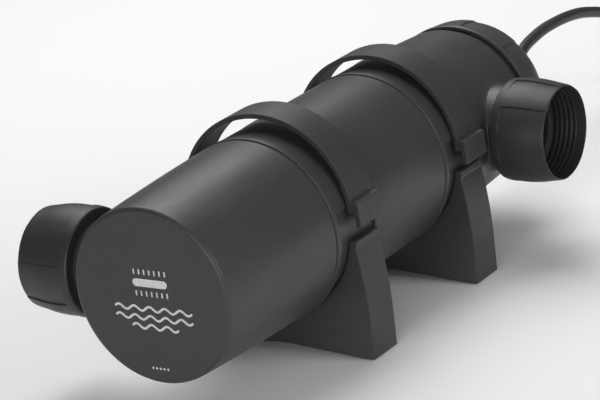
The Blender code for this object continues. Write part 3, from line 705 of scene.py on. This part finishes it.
def retaining_ring():
    rows = [(43.4, 300.0, 0), (44.8, 300.0, 0), (45.25, 300.18, 0), (45.5, 300.7, 0), (45.55, 302.0, 0)]
    rows += [(45.55, 303.4, 0), (45.55, 303.65, 0.2), (45.53, 303.9, 0.9), (45.5, 304.3, 1)]
    rows += [(45.48, 307.5, 1), (45.4, 310, 1), (45.15, 313, 1), (44.7, 315.8, 1)]
    rows += [(44.05, 318.3, 0.95), (43.1, 320.4, 0.8)]
    rows += [(42.0, 322.3, 0.6), (40.6, 323.7, 0.35), (38.9, 324.8, 0.1), (37.4, 325.35, 0)]
    rows += [(36.1, 325.35, 0), (35.3, 325.0, 0), (35.2, 324.2, 0), (35.2, 321.5, 0)]
    rows += [(41.6, 320.9, 0), (41.6, 314.6, 0)]
    rows += [(43.4, 314.0, 0), (43.4, 312.2, 0), (42.6, 311.0, 0), (43.4, 309.8, 0)]
    lofted = []
    for r, y, share in rows:
        row = []
        for turn, deep in grip_turns(RING_GRIPS, -1):
            radius, a = r - RING_GRIP_DEEP * deep * share, turn + math.radians(RING_FIRST)
            row.append(put(radius * math.cos(a), y, radius * math.sin(a)))
        lofted.append(row)
    ring = loft("ring_skin", lofted, ring=True)
    even_normals(ring)
    return wear(ring, "head_ring", HEAD, "housing_plastic", "retaining_ring")


# ---- feet and straps -----------------------------------------------------------------------
HOLDS = {"front": (103.4, 7.0), "rear": (211.0, 5.0)}
HOLD_WIDE, FOOT_HALF, SADDLE, PAD_WIDE, ARCH_HIGH = 22.4, 53.6, R_SEAT + 0.35, 7.0, 3.4
STRAP_IN, STRAP_THICK, HINGE_X, HINGE_Z, R_KNUCKLE, KNUCKLE_WIDE = 48.35, 2.6, -52.2, -4.0, 3.4, 8.6


def pin_hole(mid, half):
    drill = [(0, -half), (1.85, -half), (1.85, half), (0, half)]
    return turned("hole", drill, "Y", put(HINGE_X, mid, HINGE_Z), 40, ends=True)


def make_foot(which):
    y0 = HOLDS[which][0]
    flank = [(49.8, -9.6), (50.8, -14.8), (51.6, -20.0), (52.3, -26.0), (52.9, -32.0), (53.35, -39.0)]
    flank += [(FOOT_HALF, -46.0), (FOOT_HALF, FLOOR), (FOOT_HALF - PAD_WIDE, FLOOR), (3.0, FLOOR + ARCH_HIGH)]
    line = [(-x, z) for x, z in flank[::-1]] + [(-50.4, -8.4)]
    line += arc(R_KNUCKLE, 215, 10, 18, HINGE_X, HINGE_Z)
    line += [(-SADDLE * math.cos(math.radians(5)), -SADDLE * math.sin(math.radians(5)) - 1.0)]
    line += arc(SADDLE, 189, 351, 73)
    line += [(46.3, -5.7), (50.2, -5.6), (50.6, -6.2), (50.6, -8.8)] + flank
    foot = prism(which + "_foot_body", line, y0, y0 + HOLD_WIDE, bevel=0.7)
    settle(foot)
    mid = y0 + HOLD_WIDE / 2
    half = KNUCKLE_WIDE / 2 + 0.4
    slot_line = [(-58, -8.0), (-40, -8.0), (-40, 4), (-58, 4)]
    combine(foot, prism("slot", slot_line, mid - half, mid + half), "DIFFERENCE")
    combine(foot, pin_hole(mid, 16), "DIFFERENCE")
    even_normals(foot)
    return wear(foot, "unit", BRACKET, "bracket_plastic", which + "_foot")


def make_strap(which):
    y0, back = HOLDS[which][0], math.radians(HOLDS[which][1])
    near, far, mid = y0 + 0.4, y0 + HOLD_WIDE - 0.4, y0 + HOLD_WIDE / 2
    outer = STRAP_IN + STRAP_THICK

    def turned_back(points):
        out = []
        for x, z in points:
            dx, dz = x - HINGE_X, z - HINGE_Z
            out.append((HINGE_X + dx * math.cos(back) - dz * math.sin(back),
                        HINGE_Z + dx * math.sin(back) + dz * math.cos(back)))
        return out

    end = math.degrees(math.asin(1.2 / STRAP_IN))
    band = arc(STRAP_IN, 180 - end, 0, 90) + [(STRAP_IN, -3.4), (51.6, -3.4), (51.6, -9.8)]
    band += [(51.1, -10.2), (51.4, -11.0), (54.5, -10.8), (54.8, 1.2), (54.2, 1.8)]
    band += [(outer, 1.8)] + arc(outer, 2.5, 180 - end, 90)
    strap = prism(which + "_strap_band", turned_back(band), near, far, bevel=0.5)
    settle(strap)
    tab = arc(R_KNUCKLE, -150, 32, 20, HINGE_X, HINGE_Z)
    tab += [(-48.7, 2.8), (-50.5, 2.8), (-53.2, -0.7), (-55.1, -2.2)]
    half = KNUCKLE_WIDE / 2
    knuckle = prism("knuckle", turned_back(tab), mid - half, mid + half, bevel=0.25)
    combine(strap, knuckle, "UNION")
    combine(strap, pin_hole(mid, 8), "DIFFERENCE")
    even_normals(strap)
    return wear(strap, which + "_strap", BRACKET, "bracket_plastic", which + "_strap")


# ---- lamp head -----------------------------------------------------------------------------
def make_head():
    centre = put(0, 0, 0)
    cover = [(32.2, 317.7), (41.0, 317.7, 0.2), (41.0, 320.4, 0.3), (34.5, 320.4, 0.6), (34.2, 326.4)]
    cover += [(33.7, 328.8), (32.6, 331.0), (31.2, 332.8), (29.5, 334.3), (27.1, 335.7), (24.2, 336.8)]
    cover += [(20.6, 337.6), (16.6, 338.15), (12.6, 338.6, 0.3), (5.2, 338.6, 0.2), (5.2, 336.0)]
    cover += [(15.6, 335.6), (23.2, 334.1), (28.1, 331.6), (30.7, 328.4), (31.7, 324.8)]
    cap = turned("head_cap", rounded(cover, closed=True), "Y", centre, 160)
    even_normals(cap)
    wear(cap, "lamp_head", HEAD, "housing_plastic", "head_cover")
    body = [(3.8, 331.4), (4.9, 331.4), (4.9, 338.9), (9.2, 338.9, 0.4), (9.2, 343.9, 0.4), (6.6, 343.9)]
    gland = gripped("gland_hex", body + [(6.6, 349.2), (3.8, 349.2)], 6, 0.55, (339.3, 343.5))
    wear(gland, "lamp_head", HEAD, "housing_plastic", "gland_body")
    top = [(6.9, 344.3), (9.0, 344.3, 0.3), (9.0, 349.6, 1.2), (8.4, 352.0, 1.2), (6.9, 354.2, 0.8)]
    top += [(5.6, LENGTH, 0.3), (3.8, LENGTH), (3.8, 349.8), (6.9, 349.6)]
    nut = gripped("gland_cap", top, 16, 0.35, (344.9, 350.6))
    wear(nut, "lamp_head", HEAD, "housing_plastic", "gland_nut")


def gripped(name, profile, count, deep, span):
    """A turned piece along y with flats or flutes cut into its outside between two places."""
    rows = []
    for r, y in rounded(profile, closed=True):
        row = []
        for i in range(count * 12):
            t = TAU * i / (count * 12)
            wave = abs(math.cos(t * count / 2))
            inside = ease((y - span[0] + 0.4) / 0.4) * ease((span[1] + 0.4 - y) / 0.4)
            cut = deep * (1 - wave) ** 0.8 * inside if r > 8 else 0
            row.append(put((r - cut) * math.cos(t), y, (r - cut) * math.sin(t)))
        rows.append(row)
    return loft(name, rows, ring=True)


# ---- printed mark on the flat end ----------------------------------------------------------
def ribbon(points, wide):
    """A thin flat stroke through points (x, z) on the flat end."""
    left, right = [], []
    for i, p in enumerate(points):
        ahead = (Vector(points[min(i + 1, len(points) - 1)]) - Vector(points[max(i - 1, 0)])).normalized()
        off = Vector((-ahead.y, ahead.x)) * wide / 2
        left.append(Vector(p) + off)
        right.append(Vector(p) - off)
    return left + right[::-1]


def make_print():
    """Plain white mark: a lamp with rays over three waves, and a row of dots near the rim."""
    shapes = []
    for row, (x0, x1) in enumerate(((-22, 23), (-22, 23), (-13, 14))):
        line = []
        for i in range(61):
            x = x0 + (x1 - x0) * i / 60
            line.append((x, -6.5 - row * 4.6 + 1.15 * math.sin((x - x0) * TAU / 9.0)))
        shapes.append(ribbon(line, 1.15))
    lamp = arc(2.0, 90, 270, 14, -7.5, 6.8) + arc(2.0, -90, 90, 14, 8.5, 6.8)
    shapes.append(lamp)
    for i in range(7):
        x = -8.5 + 3.0 * i
        for sign in (1, -1):
            near, far = 6.8 + sign * 4.2, 6.8 + sign * 6.8
            shapes.append([(x, near), (x + 0.8, near), (x + 0.8, far), (x, far)])
    for i in range(5):
        shapes.append(arc(0.62, 0, 345, 24, -4.4 + 2.2 * i, -37.0))
    bm = bmesh.new()
    for shape in shapes:
        near = [bm.verts.new(put(x, FLAT_Y - 0.035, z)) for x, z in shape]
        face = bm.faces.new(near)
        far = bmesh.ops.extrude_face_region(bm, geom=[face])["geom"]
        moved = [v for v in far if isinstance(v, bmesh.types.BMVert)]
        bmesh.ops.translate(bm, vec=Vector((0, 0.05 * MM, 0)), verts=moved)
    bmesh.ops.triangulate(bm, faces=bm.faces)
    ink = shown("face_print", finish_mesh(bm, "face_print"))
    n = Nodes("white_ink")
    patch = n.noise(900, 4, 0.65)
    tone = n.mix(n.spread(patch, 0.35, 0.6, 0, 1), (0.52, 0.52, 0.52), (0.70, 0.70, 0.70))
    n.bump([(patch, 0.3, 0.02)])
    return wear(ink, "unit", n.out(tone, n.spread(patch, 0.3, 0.7, 0.42, 0.55)), "housing_plastic")


# ---- finishes on the CAD pieces that stay --------------------------------------------------
def dress():
    finish = {
        RUBBER: ["inlet_seal", "outlet_seal", "head_gasket", "head_o_ring", "sleeve_o_ring", "coil_tie",
                 "capacitor"],
        HEAD: ["lamp_head_base", "sleeve_nut", "gland_lock_nut"],
        PLUG: ["plug_body"],
        SPRING: ["inlet_snap_ring", "outlet_snap_ring"],
        STEEL: ["front_hinge_pin", "rear_hinge_pin", "plug_pin_left", "plug_pin_right"],
        BRASS: ["lamp_pin_left", "lamp_pin_right"],
        QUARTZ: ["quartz_sleeve"],
        LAMP_GLASS: ["uv_lamp_tubes"],
        INNER: ["uv_lamp_base", "lamp_holder"],
        BOARD: ["circuit_board"],
        CORE: ["choke"],
    }
    for mat, names in finish.items():
        for name in names:
            o = nodes[name]
            o.data.materials.clear()
            o.data.materials.append(mat)
            o.data.shade_smooth()
            o.data.set_sharp_from_angle(angle=math.radians(34))


# ---- floor and light -----------------------------------------------------------------------
def make_floor():
    mesh = bpy.data.meshes.new("floor")
    corners = ((-1, -1), (1, -1), (1, 1), (-1, 1))
    mesh.from_pydata([(30 * x, 30 * y, -0.0004) for x, y in corners], [], [(0, 1, 2, 3)])
    floor = shown("floor", mesh)
    mat = bpy.data.materials.new("floor")
    mat.use_nodes = True
    shader = mat.node_tree.nodes["Principled BSDF"]
    shader.inputs["Base Color"].default_value = (0.93, 0.93, 0.93, 1)
    shader.inputs["Roughness"].default_value = 0.9
    shader.inputs["Specular IOR Level"].default_value = 0.1
    mesh.materials.append(mat)


def lamp(name, place, aim, wide, high, power):
    data = bpy.data.lights.new(name, "AREA")
    data.shape, data.size, data.size_y, data.energy = "RECTANGLE", wide, high, power
    o = bpy.data.objects.new(name, data)
    bpy.context.scene.collection.objects.link(o)
    o.location = place
    o.rotation_euler = (Vector(aim) - Vector(place)).to_track_quat("-Z", "Y").to_euler()


def make_light():
    world = bpy.data.worlds.new("studio")
    bpy.context.scene.world = world
    bpy.context.scene.view_settings.view_transform = "Standard"
    world.use_nodes = True
    tree = world.node_tree
    way = tree.nodes.new("ShaderNodeTexCoord").outputs["Generated"]
    total = None
    # (direction, strength): overhead, the white backdrop, and the outlet side
    for toward, strength in (((0, 0, 1), 2.9), ((-0.35, 0.94, 0), 1.5), ((0.95, -0.3, 0), 0.7)):
        dot = tree.nodes.new("ShaderNodeVectorMath")
        dot.operation = "DOT_PRODUCT"
        dot.inputs[1].default_value = toward
        tree.links.new(way, dot.inputs[0])
        ramp = tree.nodes.new("ShaderNodeMapRange")
        ramp.inputs["To Max"].default_value = strength
        tree.links.new(dot.outputs["Value"], ramp.inputs["Value"])
        add = tree.nodes.new("ShaderNodeMath")
        add.inputs[1].default_value = 0.8
        tree.links.new(ramp.outputs["Result"], add.inputs[0])
        if total:
            tree.links.new(total, add.inputs[1])
        total = add.outputs[0]
    tree.links.new(total, tree.nodes["Background"].inputs[1])
    lamp("top", (-0.45, 0.5, 1.3), (0, 0.05, 0.07), 0.9, 1.4, 17)
    lamp("side", (1.6, 0.2, 0.75), (0, 0, 0.06), 0.7, 0.9, 9)
    lamp("front", (0.7, -1.8, 0.5), (0, 0, 0.06), 1.4, 0.8, 16)


make_housing()
for port in PORTS:
    union_nut(port)
retaining_ring()
for hold in HOLDS:
    make_foot(hold)
    make_strap(hold)
make_head()
make_print()
dress()
make_floor()
make_light()
